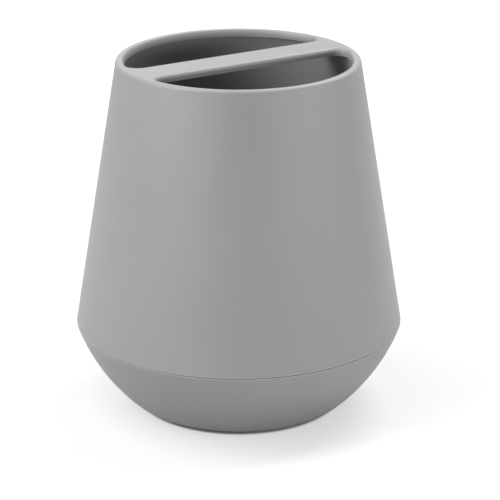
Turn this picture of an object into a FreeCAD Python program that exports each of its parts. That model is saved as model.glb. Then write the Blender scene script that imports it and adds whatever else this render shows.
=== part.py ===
import FreeCAD, Part
import math
import os
import Sketcher
from enum import IntEnum

# Toothbrush holder: a tapered cup in two mouldings that come apart at the widest ring.
# The upper shell carries a flat lip with a straight bar across the mouth, which leaves two
# D-shaped openings. The base bowl closes it below with a spigot and a soft seal, and stands on a
# non-slip ring. Millimetres, +Z up, the origin at the middle of the foot on the surface it
# stands on, and +X along the bar.

# Driving dimensions
SIZES = {
    # The whole cup
    "cup_height": 108.4,
    "widest_radius": 50.0,
    "seam_height": 26.0,
    "rim_radius": 36.45,
    # Upper shell
    "shell_wall": 2.2,
    "lip_thickness": 2.1,
    "lip_overhang": 0.65,
    "bar_width": 11.3,
    "opening_corner_radius": 3.5,
    # Edge roundings, as shares of the thinnest part beside them
    "rim_round_share": 0.48,
    "opening_round_share": 0.5,
    "under_round_share": 0.25,
    "seam_round_share": 0.2,
    # Seam between the two mouldings
    "seam_gap": 0.1,
    "seam_gap_depth": 1.0,
    "mouth_chamfer": 0.4,
    # Base bowl
    "bowl_wall": 2.2,
    "bowl_side_radius": 58.8,
    "foot_round_radius": 9.6,
    "foot_flat_radius": 28.4,
    "gate_well_radius": 3.0,
    "gate_well_depth": 0.5,
    # Spigot and its seal
    "spigot_height": 7.0,
    "spigot_top_wall": 2.2,
    "spigot_clearance": 0.3,
    "spigot_chamfer": 0.5,
    "seal_height": 2.2,
    "seal_play": 0.1,
    "seal_lift": 2.4,
    "seal_groove_depth": 1.2,
    "seal_clearance": 0.1,
    "seal_chamfer_share": 0.4,
    # Non-slip ring under the foot
    "foot_lift": 0.6,
    "foot_ring_recess": 0.8,
    "foot_ring_inset": 1.6,
    "foot_ring_width": 5.0,
    "foot_ring_clearance": 0.1,
    "foot_ring_chamfer": 0.3,
    # One overrun for every cut
    "cut_overrun": 2.0,
}

# Sizes worked out from the driving dimensions, each as a formula on them
WORKED_OUT = {
    # Taper of the shell's wall, as radius gained for each millimetre downwards
    "taper": "(Sizes.widest_radius - Sizes.rim_radius) / (Sizes.cup_height - shell_bottom)",
    # The gap lies half above and half below the seam's middle
    "shell_bottom": "Sizes.seam_height + Sizes.seam_gap / 2",
    "bowl_top": "Sizes.seam_height - Sizes.seam_gap / 2",
    # Inner wall of the shell, at the lip's underside and at the mouth
    "lip_underside": "Sizes.cup_height - Sizes.lip_thickness",
    "wall_under_lip": "Sizes.rim_radius + taper * Sizes.lip_thickness - Sizes.shell_wall",
    "mouth_radius": "Sizes.widest_radius - Sizes.shell_wall",
    "opening_radius": "wall_under_lip - Sizes.lip_overhang",
    "lip_width": "Sizes.rim_radius - opening_radius",
    "rim_round": "Sizes.rim_round_share * lip_width",
    "opening_round": "Sizes.opening_round_share * min(lip_width; Sizes.lip_thickness)",
    "under_round": "Sizes.under_round_share * min(Sizes.lip_overhang; Sizes.lip_thickness / 2)",
    "seam_round": "Sizes.seam_round_share * Sizes.seam_gap_depth",
    # The step in the bowl's shoulder that leaves the narrow gap outside it
    "land_radius": "Sizes.widest_radius - Sizes.seam_gap_depth",
    # The spigot follows the shell's inner wall
    "spigot_top": "shell_bottom + Sizes.spigot_height",
    "spigot_foot_radius": "mouth_radius - Sizes.spigot_clearance",
    "spigot_top_radius": "spigot_foot_radius - taper * Sizes.spigot_height",
    "spigot_inner_radius": "spigot_top_radius - Sizes.spigot_top_wall",
    # The seal stands in a groove in the spigot and stops just short of the shell
    "seal_bottom": "shell_bottom + Sizes.seal_lift",
    "seal_top": "seal_bottom + Sizes.seal_height",
    "groove_top": "seal_top + Sizes.seal_play",
    "groove_radius": "spigot_foot_radius - taper * Sizes.seal_lift - Sizes.seal_groove_depth",
    "seal_radius": "mouth_radius - taper * (Sizes.seal_lift + Sizes.seal_height) - Sizes.seal_clearance",
    "seal_chamfer": "Sizes.seal_chamfer_share * min(Sizes.seal_height; seal_radius - groove_radius)",
    # Underside of the bowl and its non-slip ring
    "foot_ring_outer": "Sizes.foot_flat_radius - Sizes.foot_ring_inset",
    "foot_ring_inner": "foot_ring_outer - Sizes.foot_ring_width",
    "foot_ring_top": "Sizes.foot_lift + Sizes.foot_ring_recess",
    "recess_outer": "foot_ring_outer + Sizes.foot_ring_clearance",
    "recess_inner": "foot_ring_inner - Sizes.foot_ring_clearance",
}

# How close a measured place has to lie to the wanted one, to be taken as the same
SAME_PLACE = 0.001

SIDE_PLANE = "XZ_Plane"
LEVEL_PLANE = "XY_Plane"


class Point(IntEnum):
    """Which point of a sketch's line or arc a constraint holds."""

    START = 1
    END = 2
    CENTRE = 3


class Fixed(IntEnum):
    """What every sketch holds from the start."""

    ORIGIN = -1
    UP_AXIS = -2


def make_sheet(doc):
    """The driving dimensions, one row each: the name and the value."""
    sheet = doc.addObject("Spreadsheet::Sheet", "Sizes")
    for row, (name, value) in enumerate(SIZES.items(), start=1):
        sheet.set(f"A{row}", name)
        sheet.set(f"B{row}", str(value))
        sheet.setAlias(f"B{row}", name)
    doc.recompute()
    return sheet


def make_worked_out(doc):
    """The worked-out sizes, as properties that follow the sheet."""
    worked = doc.addObject("App::VarSet", "Worked")
    for name in WORKED_OUT:
        worked.addProperty("App::PropertyFloat", name, "Worked")
    for name, formula in WORKED_OUT.items():
        worked.setExpression(name, formula)
    doc.recompute()
    return worked


def make_body(doc, label):
    body = doc.addObject("PartDesign::Body", label)
    body.Label = label
    body.Placement = FreeCAD.Placement()
    return body


def origin_plane(body, role):
    return next(plane for plane in body.Origin.OriginFeatures if plane.Role == role)


def make_sketch(body, role, name):
    sketch = body.newObject("Sketcher::SketchObject", name)
    sketch.AttachmentSupport = [(origin_plane(body, role), "")]
    sketch.MapMode = "FlatFace"
    return sketch


def vector(point):
    return FreeCAD.Vector(point[0], point[1], 0)


def add_line(sketch, start, end):
    return sketch.addGeometry(Part.LineSegment(vector(start), vector(end)), False)


def add_arc(sketch, centre, radius, start, end):
    """An arc that runs anticlockwise from the direction of start to that of end."""
    circle = Part.Circle(vector(centre), FreeCAD.Vector(0, 0, 1), radius)
    start_angle = math.atan2(start[1] - centre[1], start[0] - centre[0])
    end_angle = math.atan2(end[1] - centre[1], end[0] - centre[0])
    return sketch.addGeometry(Part.ArcOfCircle(circle, start_angle, end_angle), False)


def constrain(sketch, kind, *where):
    return sketch.addConstraint(Sketcher.Constraint(kind, *where))


def constrain_size(sketch, kind, where, value, formula):
    """A dimension with its value for now and the formula that it follows."""
    index = sketch.addConstraint(Sketcher.Constraint(kind, *where, value))
    sketch.setExpression(f"Constraints[{index}]", formula)
    return index


def outline(sketch, corners):
    """A closed outline of straight lines. Each corner is a place across and a place up, and each of
    these is a value with its formula, or None on the turning axis."""
    points = [(across[0] if across else 0, up[0]) for across, up in corners]
    lines = [add_line(sketch, a, b) for a, b in zip(points, points[1:] + points[:1])]
    for line, following in zip(lines, lines[1:] + lines[:1]):
        constrain(sketch, "Coincident", line, Point.END, following, Point.START)
    for line, (across, up) in zip(lines, corners):
        if across:
            constrain_size(sketch, "DistanceX", (line, Point.START), *across)
        else:
            constrain(sketch, "PointOnObject", line, Point.START, Fixed.UP_AXIS)
        constrain_size(sketch, "DistanceY", (line, Point.START), *up)
    return lines


def turn(body, sketch, name, kind="PartDesign::Revolution"):
    """A full turn of the sketch about the cup's axis."""
    feature = body.newObject(kind, name)
    feature.Profile = sketch
    feature.ReferenceAxis = (sketch, ["V_Axis"])
    feature.Angle = 360.0
    sketch.Visibility = False
    return feature


def round_edges(body, base, edge_names, name, formula):
    fillet = body.newObject("PartDesign::Fillet", name)
    fillet.Base = (base, edge_names)
    fillet.setExpression("Radius", formula)
    return fillet


def ease_edges(body, base, edge_names, name, formula):
    chamfer = body.newObject("PartDesign::Chamfer", name)
    chamfer.Base = (base, edge_names)
    chamfer.setExpression("Size", formula)
    return chamfer


def rings_at(shape, height, smallest, largest):
    """Names of the edges that lie level at a height, with all their points between two radii."""
    names = []
    for number, edge in enumerate(shape.Edges, start=1):
        points = edge.discretize(Number=5)
        level = all(abs(point.z - height) < SAME_PLACE for point in points)
        radii = [math.hypot(point.x, point.y) for point in points]
        if level and min(radii) > smallest - SAME_PLACE and max(radii) < largest + SAME_PLACE:
            names.append(f"Edge{number}")
    if not names:
        raise RuntimeError(f"no edge at height {height}")
    return names


def check_removed(before, after, what):
    """A cut that points away from the solid removes nothing, so its volume is compared."""
    if after.Volume > before.Volume - SAME_PLACE:
        raise RuntimeError(f"{what} cut nothing")


def make_upper_shell(doc, sheet, worked):
    """Tapered wall and lip turned in one, with the two openings cut beside the bar."""
    body = make_body(doc, "upper_shell")

    section = make_sketch(body, SIDE_PLANE, "shell_section")
    rim = (sheet.rim_radius, "Sizes.rim_radius")
    widest = (sheet.widest_radius, "Sizes.widest_radius")
    mouth = (worked.mouth_radius, "Worked.mouth_radius")
    under_lip = (worked.wall_under_lip, "Worked.wall_under_lip")
    top = (sheet.cup_height, "Sizes.cup_height")
    bottom = (worked.shell_bottom, "Worked.shell_bottom")
    underside = (worked.lip_underside, "Worked.lip_underside")
    corners = [
        (None, underside),
        (under_lip, underside),
        (mouth, bottom),
        (widest, bottom),
        (rim, top),
        (None, top),
    ]
    outline(section, corners)
    turned = turn(body, section, "shell_turned")
    doc.recompute()

    opening = opening_pocket(doc, body, sheet, worked)
    both = body.newObject("PartDesign::PolarPattern", "both_openings")
    both.Originals = [opening]
    both.Axis = (opening.Profile[0], ["N_Axis"])
    both.Angle = 360.0
    both.Occurrences = 2
    body.Tip = both
    doc.recompute()
    check_removed(turned.Shape, opening.Shape, "the first opening")
    check_removed(opening.Shape, both.Shape, "the second opening")

    low, high = 0, worked.opening_radius
    edges = rings_at(both.Shape, sheet.cup_height, low, high)
    rolled = round_edges(body, both, edges, "rolled_opening_edges", "Worked.opening_round")
    doc.recompute()
    edges = rings_at(rolled.Shape, worked.lip_underside, low, high)
    eased = round_edges(body, rolled, edges, "eased_lower_edges", "Worked.under_round")
    doc.recompute()
    edges = rings_at(eased.Shape, sheet.cup_height, sheet.rim_radius, sheet.rim_radius)
    rim_rolled = round_edges(body, eased, edges, "rolled_rim", "Worked.rim_round")
    doc.recompute()
    edges = rings_at(rim_rolled.Shape, worked.shell_bottom, sheet.widest_radius, sheet.widest_radius)
    seam_rolled = round_edges(body, rim_rolled, edges, "rolled_seam_edge", "Worked.seam_round")
    doc.recompute()
    edges = rings_at(seam_rolled.Shape, worked.shell_bottom, worked.mouth_radius, worked.mouth_radius)
    ease_edges(body, seam_rolled, edges, "mouth_lead_in", "Sizes.mouth_chamfer")
    doc.recompute()
    return body


def opening_pocket(doc, body, sheet, worked):
    """One D-shaped opening: the bar's straight edge, the round of the lip and two tangent corners."""
    sketch = make_sketch(body, LEVEL_PLANE, "opening_outline")
    sketch.setExpression(".AttachmentOffset.Base.z", "Sizes.cup_height")
    half_bar = sheet.bar_width / 2
    corner = sheet.opening_corner_radius
    radius = worked.opening_radius
    corner_up = half_bar + corner
    corner_across = math.sqrt((radius - corner) ** 2 - corner_up**2)
    reach = radius / (radius - corner)

    right_centre = (corner_across, corner_up)
    left_centre = (-corner_across, corner_up)
    right_foot = (corner_across, half_bar)
    left_foot = (-corner_across, half_bar)
    right_meeting = (corner_across * reach, corner_up * reach)
    left_meeting = (-corner_across * reach, corner_up * reach)

    edge = add_line(sketch, left_foot, right_foot)
    right = add_arc(sketch, right_centre, corner, right_foot, right_meeting)
    round_side = add_arc(sketch, (0, 0), radius, right_meeting, left_meeting)
    left = add_arc(sketch, left_centre, corner, left_meeting, left_foot)

    constrain(sketch, "Horizontal", edge)
    constrain(sketch, "Coincident", round_side, Point.CENTRE, Fixed.ORIGIN, Point.START)
    constrain(sketch, "Tangent", edge, Point.END, right, Point.START)
    constrain(sketch, "Tangent", right, Point.END, round_side, Point.START)
    constrain(sketch, "Tangent", round_side, Point.END, left, Point.START)
    constrain(sketch, "Tangent", left, Point.END, edge, Point.START)
    constrain(sketch, "Equal", right, left)
    constrain_size(sketch, "DistanceY", (edge, Point.START), half_bar, "Sizes.bar_width / 2")
    constrain_size(sketch, "Radius", (right,), corner, "Sizes.opening_corner_radius")
    constrain_size(sketch, "Radius", (round_side,), radius, "Worked.opening_radius")
    doc.recompute()

    pocket = body.newObject("PartDesign::Pocket", "opening")
    pocket.Profile = sketch
    pocket.Type = "Length"
    pocket.setExpression("Length", "Sizes.lip_thickness + Sizes.cut_overrun")
    sketch.Visibility = False
    doc.recompute()
    return pocket


def bowl_centres(sheet, worked):
    """Centres of the foot's round and of the bowl's side, which passes through the corner at the seam."""
    foot_centre = (sheet.foot_flat_radius, sheet.foot_lift + sheet.foot_round_radius)
    top_edge = (sheet.widest_radius, worked.bowl_top)
    across = top_edge[0] - foot_centre[0]
    up = top_edge[1] - foot_centre[1]
    distance = math.hypot(across, up)
    side = sheet.bowl_side_radius
    inner = side - sheet.foot_round_radius
    along = (side**2 - inner**2 + distance**2) / (2 * distance)
    beside = math.sqrt(side**2 - along**2)
    side_centre = (
        top_edge[0] - along * across / distance - beside * up / distance,
        top_edge[1] - along * up / distance + beside * across / distance,
    )
    return foot_centre, side_centre


def beyond(centre, other, share):
    """The place on the line from centre through other, at a share of their distance from centre."""
    return (
        centre[0] + (other[0] - centre[0]) * share,
        centre[1] + (other[1] - centre[1]) * share,
    )


def bowl_section(doc, body, sheet, worked):
    """Half section of the bowl: two tangent arcs and the rolled edge at the seam outside, the same
    two arcs set in by the wall inside, and the stepped shoulder and spigot between them."""
    sketch = make_sketch(body, SIDE_PLANE, "bowl_section")
    foot_centre, side_centre = bowl_centres(sheet, worked)
    side_radius = sheet.bowl_side_radius
    meeting = beyond(side_centre, foot_centre, side_radius / (side_radius - sheet.foot_round_radius))
    roll = worked.seam_round
    roll_up = worked.bowl_top - roll
    roll_across = side_centre[0] + math.sqrt((side_radius - roll) ** 2 - (roll_up - side_centre[1]) ** 2)
    roll_centre = (roll_across, roll_up)
    roll_meeting = beyond(side_centre, roll_centre, side_radius / (side_radius - roll))
    wall = sheet.bowl_wall
    inner_foot = sheet.foot_round_radius - wall
    inner_side = side_radius - wall
    foot_z = sheet.foot_lift
    spigot_inner = worked.spigot_inner_radius
    inner_end_up = side_centre[1] - math.sqrt(inner_side**2 - (spigot_inner - side_centre[0]) ** 2)
    inner_meeting = beyond(side_centre, meeting, inner_side / side_radius)

    under_centre = (0, foot_z)
    foot_edge = (sheet.foot_flat_radius, foot_z)
    corner = (sheet.widest_radius, worked.bowl_top)
    ledge_edge = (roll_across, worked.bowl_top)
    step_foot = (worked.land_radius, worked.bowl_top)
    step_top = (worked.land_radius, worked.shell_bottom)
    spigot_foot = (worked.spigot_foot_radius, worked.shell_bottom)
    spigot_outer = (worked.spigot_top_radius, worked.spigot_top)
    spigot_crest = (spigot_inner, worked.spigot_top)
    inner_start = (spigot_inner, inner_end_up)
    floor_edge = (sheet.foot_flat_radius, foot_z + wall)
    floor_centre = (0, foot_z + wall)

    under = add_line(sketch, under_centre, foot_edge)
    foot = add_arc(sketch, foot_centre, sheet.foot_round_radius, foot_edge, meeting)
    side = add_arc(sketch, side_centre, side_radius, meeting, roll_meeting)
    rolled = add_arc(sketch, roll_centre, roll, roll_meeting, ledge_edge)
    ledge = add_line(sketch, ledge_edge, step_foot)
    step = add_line(sketch, step_foot, step_top)
    land = add_line(sketch, step_top, spigot_foot)
    taper = add_line(sketch, spigot_foot, spigot_outer)
    crest = add_line(sketch, spigot_outer, spigot_crest)
    throat = add_line(sketch, spigot_crest, inner_start)
    inner_wall = add_arc(sketch, side_centre, inner_side, inner_meeting, inner_start)
    inner_round = add_arc(sketch, foot_centre, inner_foot, floor_edge, inner_meeting)
    floor = add_line(sketch, floor_edge, floor_centre)
    axis = add_line(sketch, floor_centre, under_centre)
    seam_corner = sketch.addGeometry(Part.Point(vector(corner)), True)

    chain = [ledge, step, land, taper, crest, throat]
    for line, following in zip(chain, chain[1:]):
        constrain(sketch, "Coincident", line, Point.END, following, Point.START)
    for line in (under, ledge, land, crest, floor):
        constrain(sketch, "Horizontal", line)
    for line in (step, throat):
        constrain(sketch, "Vertical", line)
    constrain(sketch, "PointOnObject", under, Point.START, Fixed.UP_AXIS)
    constrain(sketch, "PointOnObject", floor, Point.END, Fixed.UP_AXIS)
    constrain(sketch, "Tangent", under, Point.END, foot, Point.START)
    constrain(sketch, "Tangent", foot, Point.END, side, Point.START)
    constrain(sketch, "Tangent", side, Point.END, rolled, Point.START)
    constrain(sketch, "Tangent", rolled, Point.END, ledge, Point.START)
    constrain(sketch, "PointOnObject", seam_corner, Point.START, side)
    constrain(sketch, "PointOnObject", seam_corner, Point.START, ledge)
    constrain(sketch, "Coincident", throat, Point.END, inner_wall, Point.END)
    constrain(sketch, "Coincident", inner_wall, Point.CENTRE, side, Point.CENTRE)
    constrain(sketch, "Coincident", inner_round, Point.CENTRE, foot, Point.CENTRE)
    constrain(sketch, "Tangent", inner_wall, Point.START, inner_round, Point.END)
    constrain(sketch, "Tangent", inner_round, Point.START, floor, Point.START)
    constrain(sketch, "Coincident", floor, Point.END, axis, Point.START)
    constrain(sketch, "Coincident", axis, Point.END, under, Point.START)

    constrain_size(sketch, "DistanceY", (under, Point.START), foot_z, "Sizes.foot_lift")
    constrain_size(sketch, "DistanceX", (under, Point.END), foot_edge[0], "Sizes.foot_flat_radius")
    constrain_size(sketch, "Radius", (foot,), sheet.foot_round_radius, "Sizes.foot_round_radius")
    constrain_size(sketch, "Radius", (side,), side_radius, "Sizes.bowl_side_radius")
    constrain_size(sketch, "Radius", (rolled,), roll, "Worked.seam_round")
    constrain_size(sketch, "Radius", (inner_wall,), inner_side, "Sizes.bowl_side_radius - Sizes.bowl_wall")
    constrain_size(sketch, "DistanceX", (seam_corner, Point.START), corner[0], "Sizes.widest_radius")
    constrain_size(sketch, "DistanceY", (ledge, Point.START), corner[1], "Worked.bowl_top")
    constrain_size(sketch, "DistanceX", (step, Point.END), step_top[0], "Worked.land_radius")
    constrain_size(sketch, "DistanceY", (step, Point.END), step_top[1], "Worked.shell_bottom")
    constrain_size(sketch, "DistanceX", (land, Point.END), spigot_foot[0], "Worked.spigot_foot_radius")
    constrain_size(sketch, "DistanceX", (taper, Point.END), spigot_outer[0], "Worked.spigot_top_radius")
    constrain_size(sketch, "DistanceY", (taper, Point.END), spigot_outer[1], "Worked.spigot_top")
    constrain_size(sketch, "DistanceX", (crest, Point.END), spigot_crest[0], "Worked.spigot_inner_radius")
    doc.recompute()
    return sketch


def level_circles(body, name, circles):
    """A level sketch of circles about the cup's axis, each a radius with its formula."""
    sketch = make_sketch(body, LEVEL_PLANE, name)
    for radius, formula in circles:
        circle = Part.Circle(vector((0, 0)), FreeCAD.Vector(0, 0, 1), radius)
        ring = sketch.addGeometry(circle, False)
        constrain(sketch, "Coincident", ring, Point.CENTRE, Fixed.ORIGIN, Point.START)
        constrain_size(sketch, "Radius", (ring,), radius, formula)
    return sketch


def pocket_upwards(doc, body, sketch, name, formula):
    """A pocket cut up into the underside, from the level of the foot."""
    before = body.Tip
    sketch.setExpression(".AttachmentOffset.Base.z", "Sizes.foot_lift")
    doc.recompute()
    pocket = body.newObject("PartDesign::Pocket", name)
    pocket.Profile = sketch
    pocket.Type = "Length"
    pocket.Reversed = True
    pocket.setExpression("Length", formula)
    sketch.Visibility = False
    doc.recompute()
    check_removed(before.Shape, pocket.Shape, name)
    return pocket


def ring_corners(inner, outer, bottom, top):
    return [(inner, bottom), (outer, bottom), (outer, top), (inner, top)]


def make_base_bowl(doc, sheet, worked):
    """Bowl with its spigot turned in one, then the seal's groove, the ring's recess and the gate well."""
    body = make_body(doc, "base_bowl")
    section = bowl_section(doc, body, sheet, worked)
    turned = turn(body, section, "bowl_turned")
    doc.recompute()

    groove_sketch = make_sketch(body, SIDE_PLANE, "seal_groove_section")
    inner = (worked.groove_radius, "Worked.groove_radius")
    past_wall = (
        worked.spigot_foot_radius + sheet.cut_overrun,
        "Worked.spigot_foot_radius + Sizes.cut_overrun",
    )
    bottom = (worked.seal_bottom, "Worked.seal_bottom")
    top = (worked.groove_top, "Worked.groove_top")
    outline(groove_sketch, ring_corners(inner, past_wall, bottom, top))
    groove = turn(body, groove_sketch, "seal_groove", "PartDesign::Groove")
    doc.recompute()
    check_removed(turned.Shape, groove.Shape, "the seal's groove")

    circles = [
        (worked.recess_outer, "Worked.recess_outer"),
        (worked.recess_inner, "Worked.recess_inner"),
    ]
    recess_sketch = level_circles(body, "ring_recess_outline", circles)
    pocket_upwards(doc, body, recess_sketch, "ring_recess", "Sizes.foot_ring_recess")

    circles = [(sheet.gate_well_radius, "Sizes.gate_well_radius")]
    well_sketch = level_circles(body, "gate_well_outline", circles)
    well = pocket_upwards(doc, body, well_sketch, "gate_well", "Sizes.gate_well_depth")

    inner, outer = worked.spigot_inner_radius, worked.spigot_top_radius
    edges = rings_at(well.Shape, worked.spigot_top, inner, outer)
    ease_edges(body, well, edges, "spigot_lead_in", "Sizes.spigot_chamfer")
    doc.recompute()
    return body


def make_seal_ring(doc, worked):
    """Silicone ring that stands in the spigot's groove, with its outer edges eased to a lip."""
    body = make_body(doc, "seal_ring")
    sketch = make_sketch(body, SIDE_PLANE, "seal_section")
    inner = (worked.groove_radius, "Worked.groove_radius")
    outer = (worked.seal_radius, "Worked.seal_radius")
    bottom = (worked.seal_bottom, "Worked.seal_bottom")
    top = (worked.seal_top, "Worked.seal_top")
    outline(sketch, ring_corners(inner, outer, bottom, top))
    turned = turn(body, sketch, "seal_turned")
    doc.recompute()
    edges = rings_at(turned.Shape, worked.seal_bottom, worked.seal_radius, worked.seal_radius)
    edges += rings_at(turned.Shape, worked.seal_top, worked.seal_radius, worked.seal_radius)
    ease_edges(body, turned, edges, "seal_lip", "Worked.seal_chamfer")
    doc.recompute()
    return body


def make_foot_ring(doc, sheet, worked):
    """Non-slip ring, let into the underside and standing proud of it."""
    body = make_body(doc, "foot_ring")
    circles = [
        (worked.foot_ring_outer, "Worked.foot_ring_outer"),
        (worked.foot_ring_inner, "Worked.foot_ring_inner"),
    ]
    sketch = level_circles(body, "ring_outline", circles)
    pad = body.newObject("PartDesign::Pad", "ring_pad")
    pad.Profile = sketch
    pad.setExpression("Length", "Worked.foot_ring_top")
    sketch.Visibility = False
    doc.recompute()
    edges = rings_at(pad.Shape, 0, worked.foot_ring_inner, worked.foot_ring_outer)
    ease_edges(body, pad, edges, "eased_tread", "Sizes.foot_ring_chamfer")
    doc.recompute()
    return body


def check_and_write(doc, bodies):
    """Nothing is written unless every object and every sub-part came out sound."""
    failed = [item.Name for item in doc.Objects if {"Invalid", "Error"} & set(item.State)]
    if failed:
        raise RuntimeError(f"failed objects: {failed}")
    for body in bodies:
        if body.Shape.isNull() or not body.Shape.isValid() or len(body.Shape.Solids) != 1:
            raise RuntimeError(f"unsound shape: {body.Label}")
    os.makedirs("parts", exist_ok=True)
    for body in bodies:
        body.Shape.exportStep(f"parts/{body.Label}.step")
        box = body.Shape.BoundBox
        print(f"{body.Label}: {body.Shape.Volume:.1f} mm3, z {box.ZMin:.2f} to {box.ZMax:.2f}, "
              f"across {box.XLength:.2f}")


def main():
    doc = FreeCAD.newDocument("toothbrush_holder")
    sheet = make_sheet(doc)
    worked = make_worked_out(doc)
    bodies = [
        make_upper_shell(doc, sheet, worked),
        make_base_bowl(doc, sheet, worked),
        make_seal_ring(doc, worked),
        make_foot_ring(doc, sheet, worked),
    ]
    doc.recompute()
    check_and_write(doc, bodies)


main()
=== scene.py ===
import math

import bmesh
import bpy
from mathutils import Matrix, Vector
from mathutils.geometry import tessellate_polygon


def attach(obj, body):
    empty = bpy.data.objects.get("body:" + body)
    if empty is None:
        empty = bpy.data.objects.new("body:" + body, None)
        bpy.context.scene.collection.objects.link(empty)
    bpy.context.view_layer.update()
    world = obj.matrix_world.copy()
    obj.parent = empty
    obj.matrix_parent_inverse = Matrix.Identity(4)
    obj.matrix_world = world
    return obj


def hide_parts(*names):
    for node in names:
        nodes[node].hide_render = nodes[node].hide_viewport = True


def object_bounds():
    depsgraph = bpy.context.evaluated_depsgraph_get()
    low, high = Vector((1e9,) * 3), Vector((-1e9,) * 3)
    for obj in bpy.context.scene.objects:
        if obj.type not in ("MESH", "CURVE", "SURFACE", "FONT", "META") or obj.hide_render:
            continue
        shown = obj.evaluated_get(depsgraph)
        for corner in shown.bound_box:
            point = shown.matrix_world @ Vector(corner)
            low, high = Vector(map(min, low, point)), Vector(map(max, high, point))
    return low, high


# Toothbrush holder: satin grey moulded plastic on a white studio floor. The upper shell is made
# anew, because the inner edge of its lip is rolled deeper than it is wide. The other pieces keep
# their own shape. All get procedural materials here. Metres, +Z up, +X along the bar.

MM = 0.001
UP = Vector((0, 0, 1))

# Camera, fitted to the rim, the seam and the outline in the photograph. Lengths in the image are
# in pixels, angles in degrees.
IMAGE_WIDTH = 500
FOCAL_PIXELS = 2228.7
CAMERA_AZIMUTH = -31.0
CAMERA_ELEVATION = 19.27
CAMERA_DISTANCE = 680.45 * MM
CAMERA_PIVOT_HEIGHT = 55.0 * MM
CAMERA_DIP = 19.85
CAMERA_PAN = -0.3085
CAMERA_ROLL = 0.015
SENSOR_WIDTH = 36.0

# Upper shell
CUP_HEIGHT = 108.4 * MM
SHELL_BOTTOM = 26.05 * MM
WIDEST_RADIUS = 50.0 * MM
RIM_RADIUS = 36.45 * MM
OPENING_RADIUS = 33.95 * MM
HALF_BAR = 5.65 * MM
OPENING_CORNER = 3.5 * MM
SHELL_WALL = 2.2 * MM
LIP_THICKNESS = 2.3 * MM
RIM_ROUND = 1.2 * MM
SEAM_ROUND = 0.2 * MM
MOUTH_CHAMFER = 0.4 * MM
UNDER_ROUND = 0.16 * MM
# Rolled edges of the openings: how far they reach across the lip or bar, and how far down
BAR_ROLL = (1.3 * MM, 1.3 * MM)
LIP_ROLL = (1.0 * MM, 2.0 * MM)
# Facets
TURN_STEPS = 288
RIM_STEPS = 10
SEAM_STEPS = 8
ROLL_STEPS = 10
UNDER_STEPS = 4
CORNER_STEPS = 24
LIP_STEPS = 150

# Noise runs from 0 to 1, and mostly between these
NOISE_LOW = 0.3
NOISE_HIGH = 0.7

# Finish of the moulded grey plastic
PLASTIC_GREY = 0.33
PLASTIC_ROUGHNESS = 0.42
GRAIN_SIZE = 0.28 * MM
GRAIN_DEPTH = 0.004 * MM
FLOW_SIZE = 28.0 * MM
FLOW_DEPTH = 0.03 * MM
CLOUD_SIZE = 35.0 * MM
GRAIN_TONES = (0.985, 1.015)
CLOUD_TONES = (0.975, 1.025)
GRAIN_SHEEN = 0.03
CLOUD_SHEEN = 0.02
# Edges are painted paler, partly as rubbing wear and partly as a painted highlight, and are rubbed
# smoother. The likeness of the true normal to the rounded one is low at an edge and high on a
# plain face.
EDGE_REACH = 0.6 * MM
EDGE_SAMPLES = 6
EDGE_LIKENESS = 0.94
FACE_LIKENESS = 0.998
EDGE_WEAR_AND_HIGHLIGHT_TONE = 1.5
RUBBED_SHEEN = 0.06
# Painted shade in the seam and other crevices, by how open the surface is: 0 in a crevice, 1 in
# the open
CREVICE_REACH = 0.4 * MM
CREVICE_SAMPLES = 4
CREVICE_SHADE_TONE = 0.3
SHADED_OPENNESS = 0.1
UNSHADED_OPENNESS = 0.8

# Finish of the soft seal and foot
SEAL_GREY = 0.45
SEAL_ROUGHNESS = 0.6
FOOT_GREY = 0.05
FOOT_ROUGHNESS = 0.75
POWDER_SIZE = 0.4 * MM
POWDER_DEPTH = 0.01 * MM
POWDER_TONES = (0.92, 1.08)
POWDER_SHEEN = 0.06
STAIN_SIZE = 9.0 * MM
STAIN_TONES = (0.96, 1.04)

# Studio floor: its tone as the camera sees it and as it lights the holder, and its glow for the
# camera, which grows to white between the reach of the shadow and that of the white
FLOOR_SIZE = 6.0
FLOOR_TONE = 0.544
PAPER_TONE = 0.646
FLOOR_GLOW = 0.538
WHITE_GLOW = 1.0
SHADOW_REACH = 0.25
WHITE_REACH = 0.7
REFLECTED_GLOW = 0.135
# The glow fades under the foot, by how open the floor is: a painted contact shadow
CONTACT_REACH = 1.2 * MM
CONTACT_SAMPLES = 8
COVERED_OPENNESS = 0.5
OPEN_OPENNESS = 0.9

# Lamps: azimuth from the camera to the right, elevation, width, height, watts
LAMP_DISTANCE = 0.8
LAMPS = {
    "right_low_softbox": (58, 8, 0.95, 0.22, 3.09),
    "left_key_softbox": (-60, 28, 0.45, 0.3, 1.27),
    "left_high_softbox": (-75, 42, 0.45, 0.4, 1.97),
    "left_low_softbox": (-45, 8, 0.85, 0.22, 1.37),
    "left_top_softbox": (-90, 66, 0.5, 0.5, 2.68),
    "back_high_softbox": (135, 55, 0.5, 0.5, 4.6),
    "back_sheen_softbox": (-165, 28, 0.3, 0.25, 0.21),
}


def node(tree, kind, **settings):
    """A node of a tree. A setting is an attribute of the node, or else the value of an input."""
    made = tree.nodes.new(kind)
    for name, value in settings.items():
        if hasattr(made, name):
            setattr(made, name, value)
        else:
            made.inputs[name.replace("_", " ")].default_value = value
    return made


def new_material(name):
    """A material with an empty tree but for its output and one principled shader."""
    material = bpy.data.materials.new(name)
    material.use_nodes = True
    tree = material.node_tree
    tree.nodes.clear()
    output = node(tree, "ShaderNodeOutputMaterial")
    shader = node(tree, "ShaderNodeBsdfPrincipled")
    tree.links.new(shader.outputs["BSDF"], output.inputs["Surface"])
    return material, tree, shader


def noise(tree, where, size, detail, roughness=0.5):
    """Noise whose features are about the given size across."""
    made = node(tree, "ShaderNodeTexNoise", Scale=1 / size, Detail=detail, Roughness=roughness)
    tree.links.new(where, made.inputs["Vector"])
    return made.outputs["Fac"]


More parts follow.
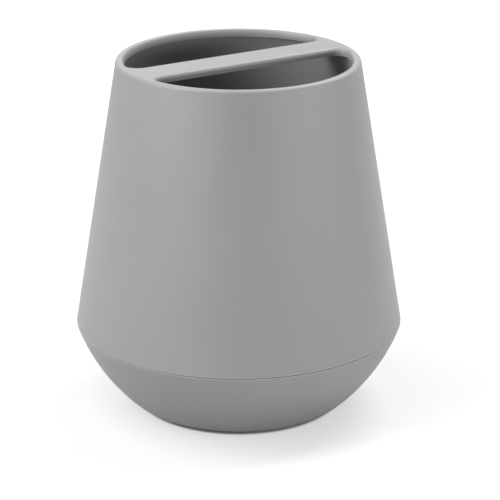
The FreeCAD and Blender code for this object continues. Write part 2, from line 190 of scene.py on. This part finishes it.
def to_range(tree, value, low, high, start=NOISE_LOW, end=NOISE_HIGH):
    """The value's stretch from start to end, laid out from low to high."""
    made = node(tree, "ShaderNodeMapRange", From_Min=start, From_Max=end, To_Min=low, To_Max=high)
    tree.links.new(value, made.inputs["Value"])
    return made.outputs["Result"]


def combine(tree, operation, first, second):
    """Arithmetic on two values, each a socket or a number."""
    made = node(tree, "ShaderNodeMath", operation=operation)
    for socket, value in zip(made.inputs, (first, second)):
        if isinstance(value, (int, float)):
            socket.default_value = value
        else:
            tree.links.new(value, socket)
    return made.outputs["Value"]


def edge_mask(tree, reach):
    """1 where a rounding or edge turns sharply within the reach, 0 on plain surfaces."""
    geometry = node(tree, "ShaderNodeNewGeometry")
    bevel = node(tree, "ShaderNodeBevel", samples=EDGE_SAMPLES, Radius=reach)
    dot = node(tree, "ShaderNodeVectorMath", operation="DOT_PRODUCT")
    tree.links.new(geometry.outputs["Normal"], dot.inputs[0])
    tree.links.new(bevel.outputs["Normal"], dot.inputs[1])
    return to_range(tree, dot.outputs["Value"], 1.0, 0.0, EDGE_LIKENESS, FACE_LIKENESS)


def openness(tree, samples, reach):
    """1 where nothing is near within the reach, falling to 0 in a crevice."""
    made = node(tree, "ShaderNodeAmbientOcclusion", samples=samples, Distance=reach)
    return made.outputs["AO"]


def product(tree, first, *rest):
    """All the values multiplied."""
    for value in rest:
        first = combine(tree, "MULTIPLY", first, value)
    return first


def bump(tree, height, depth, onto=None):
    """A normal that is bent by the height, on top of another normal if one is given."""
    made = node(tree, "ShaderNodeBump", Strength=1.0, Distance=depth)
    tree.links.new(height, made.inputs["Height"])
    if onto:
        tree.links.new(onto, made.inputs["Normal"])
    return made.outputs["Normal"]


def grey(tree, value):
    """The value as a colour."""
    made = node(tree, "ShaderNodeCombineColor")
    for socket in made.inputs:
        tree.links.new(value, socket)
    return made.outputs["Color"]


def moulded_plastic(name, tone, roughness):
    """Satin moulded plastic: spark-eroded grain, faint flow waves and clouds, edges a little
    smoother and painted paler, partly as rubbing wear and partly as a painted highlight, and
    painted shade in the seam and other crevices."""
    material, tree, shader = new_material(name)
    where = node(tree, "ShaderNodeTexCoord").outputs["Object"]
    grain = noise(tree, where, GRAIN_SIZE, detail=3.0, roughness=0.6)
    flow = noise(tree, where, FLOW_SIZE, detail=1.0)
    cloud = noise(tree, where, CLOUD_SIZE, detail=3.0)
    edges = edge_mask(tree, EDGE_REACH)

    shade = to_range(tree, cloud, *CLOUD_TONES)
    speck = to_range(tree, grain, *GRAIN_TONES)
    # Paler edges: partly rubbing wear, partly a painted highlight
    edge_wear_and_highlight = to_range(tree, edges, 1.0, EDGE_WEAR_AND_HIGHLIGHT_TONE, 0.0, 1.0)
    # Painted shade: darker in the seam and other crevices, where the surface is enclosed
    crevice = openness(tree, CREVICE_SAMPLES, CREVICE_REACH)
    painted_crevice_shade = to_range(tree, crevice, CREVICE_SHADE_TONE, 1.0, SHADED_OPENNESS, UNSHADED_OPENNESS)
    toned = product(tree, shade, speck, edge_wear_and_highlight, painted_crevice_shade, tone)
    tree.links.new(grey(tree, toned), shader.inputs["Base Color"])

    matt = to_range(tree, grain, roughness - GRAIN_SHEEN, roughness + GRAIN_SHEEN)
    matt = combine(tree, "ADD", matt, to_range(tree, cloud, -CLOUD_SHEEN, CLOUD_SHEEN))
    matt = combine(tree, "SUBTRACT", matt, to_range(tree, edges, 0.0, RUBBED_SHEEN, 0.0, 1.0))
    tree.links.new(matt, shader.inputs["Roughness"])

    waves = bump(tree, flow, FLOW_DEPTH)
    tree.links.new(bump(tree, grain, GRAIN_DEPTH, waves), shader.inputs["Normal"])
    return material


def soft_rubber(name, tone, roughness):
    """Matt silicone or rubber with a powdery grain."""
    material, tree, shader = new_material(name)
    where = node(tree, "ShaderNodeTexCoord").outputs["Object"]
    powder = noise(tree, where, POWDER_SIZE, detail=4.0, roughness=0.6)
    stain = noise(tree, where, STAIN_SIZE, detail=2.0)
    speck = to_range(tree, powder, *POWDER_TONES)
    toned = product(tree, speck, to_range(tree, stain, *STAIN_TONES), tone)
    tree.links.new(grey(tree, toned), shader.inputs["Base Color"])
    matt = to_range(tree, powder, roughness - POWDER_SHEEN, roughness + POWDER_SHEEN)
    tree.links.new(matt, shader.inputs["Roughness"])
    tree.links.new(bump(tree, powder, POWDER_DEPTH), shader.inputs["Normal"])
    return material


def dress(piece, material):
    """The piece takes the material in place of those it has."""
    piece.data.materials.clear()
    piece.data.materials.append(material)


def sight(tree):
    """1 for what the camera sees directly or through glass, and 1 for what it sees in a gloss."""
    rays = node(tree, "ShaderNodeLightPath")
    through = rays.outputs["Is Transmission Ray"]
    direct = combine(tree, "MAXIMUM", rays.outputs["Is Camera Ray"], through)
    return direct, rays.outputs["Is Glossy Ray"]


class Surface:
    """Faces that share their corners, with the true normal of the surface at each face's corner."""

    def __init__(self):
        self.points = []
        self.faces = []
        self.normals = []

    def row(self, points):
        """Adds a row of points and gives back their numbers."""
        first = len(self.points)
        self.points += points
        return list(range(first, len(self.points)))

    def bands(self, rows, normals):
        """Closed bands of faces from each row to the next."""
        lined_up = list(zip(rows, normals))
        for (upper, upper_out), (lower, lower_out) in zip(lined_up, lined_up[1:]):
            for a in range(len(upper)):
                b = (a + 1) % len(upper)
                self.faces.append((upper[a], lower[a], lower[b], upper[b]))
                self.normals += [upper_out[a], lower_out[a], lower_out[b], upper_out[b]]

    def level(self, rows, normal):
        """Level face with an outer row and the rows of its holes."""
        numbers = [number for row in rows for number in row]
        loops = [[self.points[number] for number in row] for row in rows]
        for triangle in tessellate_polygon(loops):
            face = [numbers[corner] for corner in triangle]
            a, b, c = (self.points[number] for number in face)
            if (b - a).cross(c - a).dot(normal) < 0:
                face.reverse()
            self.faces.append(tuple(face))
            self.normals += [normal] * 3

    def piece(self, name):
        """The faces as an object of the scene."""
        mesh = bpy.data.meshes.new(name)
        mesh.from_pydata(self.points, [], self.faces)
        mesh.normals_split_custom_set([tuple(normal) for normal in self.normals])
        made = bpy.data.objects.new(name, mesh)
        bpy.context.scene.collection.objects.link(made)
        return made


def arc(centre, radius, start, end, steps):
    """Places and normals along an arc in the half section, each as (across, up)."""
    turned = [math.radians(start + (end - start) * step / steps) for step in range(steps + 1)]
    normals = [(math.cos(angle), math.sin(angle)) for angle in turned]
    return [((centre[0] + radius * x, centre[1] + radius * z), (x, z)) for x, z in normals]


def shell_profile():
    """Half section of the shell from the lip's flat top over the rim, down the cone, round the
    seam's edge and up inside to the lip's underside, as places and normals. Each run is smooth, and
    the runs meet in sharp edges."""
    along = Vector((WIDEST_RADIUS - RIM_RADIUS, SHELL_BOTTOM - CUP_HEIGHT)).normalized()
    outward = (-along.y, along.x)
    tilt = math.degrees(math.atan2(outward[1], outward[0]))
    rim_across = RIM_RADIUS - RIM_ROUND * (1 - outward[1]) / outward[0]
    seam_across = WIDEST_RADIUS - SEAM_ROUND * (1 + outward[1]) / outward[0]
    mouth = Vector((WIDEST_RADIUS - SHELL_WALL, SHELL_BOTTOM))
    chamfer_foot = mouth + Vector((MOUTH_CHAMFER, 0))
    chamfer_top = mouth - along * MOUTH_CHAMFER
    slant = (chamfer_top - chamfer_foot).normalized()
    chamfer_normal = (-slant.y, slant.x)
    underside = CUP_HEIGHT - LIP_THICKNESS
    under_lip = mouth - along * ((underside - SHELL_BOTTOM) / -along.y)
    inward = (-outward[0], -outward[1])

    rim_centre = (rim_across, CUP_HEIGHT - RIM_ROUND)
    seam_centre = (seam_across, SHELL_BOTTOM + SEAM_ROUND)
    rim = arc(rim_centre, RIM_ROUND, 90, tilt, RIM_STEPS)
    seam = arc(seam_centre, SEAM_ROUND, tilt, -90, SEAM_STEPS)
    return [
        rim + seam + [(chamfer_foot, (0, -1))],
        [(chamfer_foot, chamfer_normal), (chamfer_top, chamfer_normal)],
        [(chamfer_top, inward), (under_lip, inward)],
    ]


def opening_outline(side):
    """Outline of one D-shaped opening, on the side of +Y or else -Y. Each entry is a place, the
    direction from there into the lip or bar, and how far the edge is rolled across and down."""
    corner_up = HALF_BAR + OPENING_CORNER
    corner_across = math.sqrt((OPENING_RADIUS - OPENING_CORNER) ** 2 - corner_up**2)
    meeting = math.degrees(math.atan2(corner_up, corner_across))
    right_corner = (corner_across, corner_up)
    left_corner = (-corner_across, corner_up)
    outline = [(Vector((-corner_across, HALF_BAR, 0)), Vector((0, -1, 0)), Vector(BAR_ROLL))]

    def add(centre, radius, start, end, steps, roll_start, roll_end):
        for step in range(steps):
            share = step / steps
            angle = math.radians(start + (end - start) * share)
            into = Vector((math.cos(angle), math.sin(angle), 0))
            eased = share * share * (3 - 2 * share)
            roll = Vector(roll_start).lerp(Vector(roll_end), eased)
            outline.append((Vector((*centre, 0)) + into * radius, into, roll))

    add(right_corner, OPENING_CORNER, -90, meeting, CORNER_STEPS, BAR_ROLL, LIP_ROLL)
    add((0, 0), OPENING_RADIUS, meeting, 180 - meeting, LIP_STEPS, LIP_ROLL, LIP_ROLL)
    add(left_corner, OPENING_CORNER, 180 - meeting, 270, CORNER_STEPS, LIP_ROLL, BAR_ROLL)
    if side < 0:
        half_turn = Matrix.Rotation(math.pi, 3, "Z")
        outline = [(half_turn @ place, half_turn @ into, roll) for place, into, roll in outline]
    return outline[::-1]


def roll_rows(shell, outline, level, steps, way):
    """Rows of a quarter roll with their normals, from the flat face to the opening's upright side.
    The way is 1 for the lip's top and -1 for its underside."""
    rows, normals = [], []
    for step in range(steps + 1):
        angle = math.radians(90 * step / steps)
        sine, cosine = math.sin(angle), math.cos(angle)
        row, row_normals = [], []
        for place, into, (across, down) in outline:
            height = level - way * down * (1 - cosine)
            row.append(place + into * across * (1 - sine) + UP * height)
            row_normals.append((UP * way * across * cosine - into * down * sine).normalized())
        rows.append(shell.row(row))
        normals.append(row_normals)
    return rows, normals


def make_shell():
    """Tapered wall and lip turned in one, with two D-shaped openings. The lip's inner edge is
    rolled deep and the bar's edges round, and the one runs into the other round the corners."""
    shell = Surface()
    turns = [2 * math.pi * step / TURN_STEPS for step in range(TURN_STEPS)]
    spokes = [Vector((math.cos(turn), math.sin(turn), 0)) for turn in turns]
    top_row = last_row = None
    for run in shell_profile():
        rows, normals = [], []
        for place, normal in run:
            if last_row and not rows:
                rows.append(last_row)
            else:
                rows.append(shell.row([out * place[0] + UP * place[1] for out in spokes]))
            normals.append([out * normal[0] + UP * normal[1] for out in spokes])
        shell.bands(rows, normals)
        top_row, last_row = top_row or rows[0], rows[-1]

    top_rows, under_rows = [top_row], [last_row]
    for side in (1, -1):
        outline = opening_outline(side)
        under_outline = [(place, into, (UNDER_ROUND, UNDER_ROUND)) for place, into, _ in outline]
        underside = CUP_HEIGHT - LIP_THICKNESS
        top, top_normals = roll_rows(shell, outline, CUP_HEIGHT, ROLL_STEPS, 1)
        under, under_normals = roll_rows(shell, under_outline, underside, UNDER_STEPS, -1)
        shell.bands(top + under[::-1], top_normals + under_normals[::-1])
        top_rows.append(top[0])
        under_rows.append(under[0])
    shell.level(top_rows, UP)
    shell.level(under_rows, -UP)
    return shell.piece("shell_moulding")


def make_floor():
    """A wide floor of pale paper. The camera sees it white, with the holder's shadow on it and a
    painted contact shadow under the foot.
    """
    half = FLOOR_SIZE / 2
    mesh = bpy.data.meshes.new("floor")
    work = bmesh.new()
    corners = [(-half, -half, 0), (half, -half, 0), (half, half, 0), (-half, half, 0)]
    work.faces.new([work.verts.new(corner) for corner in corners])
    work.to_mesh(mesh)
    work.free()
    floor = bpy.data.objects.new("floor", mesh)
    bpy.context.scene.collection.objects.link(floor)

    material = bpy.data.materials.new("floor_paper")
    material.use_nodes = True
    tree = material.node_tree
    tree.nodes.clear()
    output = node(tree, "ShaderNodeOutputMaterial")
    direct, glossy = sight(tree)
    matt = node(tree, "ShaderNodeBsdfDiffuse")
    paper_tone = to_range(tree, direct, PAPER_TONE, FLOOR_TONE, 0.0, 1.0)
    tree.links.new(grey(tree, paper_tone), matt.inputs["Color"])
    glow = node(tree, "ShaderNodeEmission")
    across = node(tree, "ShaderNodeVectorMath", operation="LENGTH")
    tree.links.new(node(tree, "ShaderNodeTexCoord").outputs["Object"], across.inputs[0])
    away = across.outputs["Value"]
    paper_glow = to_range(tree, away, FLOOR_GLOW, WHITE_GLOW, SHADOW_REACH, WHITE_REACH)
    # Painted contact shadow: the camera's glow dims where the foot covers the floor
    uncovered = openness(tree, CONTACT_SAMPLES, CONTACT_REACH)
    painted_contact_shadow = to_range(tree, uncovered, 0.0, 1.0, COVERED_OPENNESS, OPEN_OPENNESS)
    strength = product(tree, direct, paper_glow, painted_contact_shadow)
    strength = combine(tree, "ADD", strength, combine(tree, "MULTIPLY", glossy, REFLECTED_GLOW))
    tree.links.new(strength, glow.inputs["Strength"])
    both = node(tree, "ShaderNodeAddShader")
    tree.links.new(matt.outputs["BSDF"], both.inputs[0])
    tree.links.new(glow.outputs["Emission"], both.inputs[1])
    tree.links.new(both.outputs["Shader"], output.inputs["Surface"])
    dress(floor, material)


def make_world():
    """White for the camera and in reflections. The lamps alone light the holder."""
    world = bpy.data.worlds.new("studio")
    bpy.context.scene.world = world
    world.use_nodes = True
    tree = world.node_tree
    tree.nodes.clear()
    output = node(tree, "ShaderNodeOutputWorld")
    white = node(tree, "ShaderNodeBackground", Color=(1, 1, 1, 1))
    tree.links.new(combine(tree, "MAXIMUM", *sight(tree)), white.inputs["Strength"])
    tree.links.new(white.outputs["Background"], output.inputs["Surface"])


def from_camera(azimuth, elevation, distance, centre):
    """A place round the holder, its azimuth counted from the camera's, to the right."""
    around = math.radians(CAMERA_AZIMUTH + azimuth)
    up = math.radians(elevation)
    out = Vector((math.sin(around) * math.cos(up), -math.cos(around) * math.cos(up), math.sin(up)))
    return centre + out * distance


def softbox(name, azimuth, elevation, width, height, watts, centre):
    """A rectangular lamp that faces the holder."""
    light = bpy.data.lights.new(name, "AREA")
    light.shape = "RECTANGLE"
    light.size = width
    light.size_y = height
    light.energy = watts
    lamp = bpy.data.objects.new(name, light)
    lamp.location = from_camera(azimuth, elevation, LAMP_DISTANCE, centre)
    lamp.rotation_euler = (centre - lamp.location).to_track_quat("-Z", "Y").to_euler()
    bpy.context.scene.collection.objects.link(lamp)


def make_camera():
    """The photograph's camera."""
    camera = bpy.data.cameras.new("camera")
    camera.sensor_width = SENSOR_WIDTH
    camera.lens = FOCAL_PIXELS / IMAGE_WIDTH * SENSOR_WIDTH
    seen_from = bpy.data.objects.new("camera", camera)
    bpy.context.scene.collection.objects.link(seen_from)
    pivot = Vector((0, 0, CAMERA_PIVOT_HEIGHT))
    place = Matrix.Translation(from_camera(0, CAMERA_ELEVATION, CAMERA_DISTANCE, pivot))
    heading = Matrix.Rotation(math.radians(CAMERA_AZIMUTH + CAMERA_PAN), 4, "Z")
    dip = Matrix.Rotation(math.radians(90 - CAMERA_DIP), 4, "X")
    roll = Matrix.Rotation(math.radians(CAMERA_ROLL), 4, "Z")
    seen_from.matrix_world = place @ heading @ dip @ roll
    bpy.context.scene.camera = seen_from


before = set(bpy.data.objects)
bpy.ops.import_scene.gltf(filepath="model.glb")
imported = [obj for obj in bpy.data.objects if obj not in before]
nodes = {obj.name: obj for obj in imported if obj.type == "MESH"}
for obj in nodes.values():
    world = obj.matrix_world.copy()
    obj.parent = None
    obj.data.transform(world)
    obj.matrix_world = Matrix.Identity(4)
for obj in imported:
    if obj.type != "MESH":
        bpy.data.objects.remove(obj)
cad_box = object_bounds()
middle = Vector((0, 0, (cad_box[0].z + cad_box[1].z) / 2))

shell_moulding = make_shell()
dress(shell_moulding, moulded_plastic("shell_plastic_satin", PLASTIC_GREY, PLASTIC_ROUGHNESS))
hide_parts("upper_shell")
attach(shell_moulding, "shell")

bowl_plastic = moulded_plastic("bowl_plastic_satin", PLASTIC_GREY, PLASTIC_ROUGHNESS)
dress(nodes["base_bowl"], bowl_plastic)
dress(nodes["seal_ring"], soft_rubber("seal_silicone_matt", SEAL_GREY, SEAL_ROUGHNESS))
dress(nodes["foot_ring"], soft_rubber("foot_rubber_matt", FOOT_GREY, FOOT_ROUGHNESS))

make_floor()
make_world()
for lamp_name, lamp in LAMPS.items():
    softbox(lamp_name, *lamp, middle)
make_camera()

bpy.context.scene.view_settings.view_transform = "Standard"
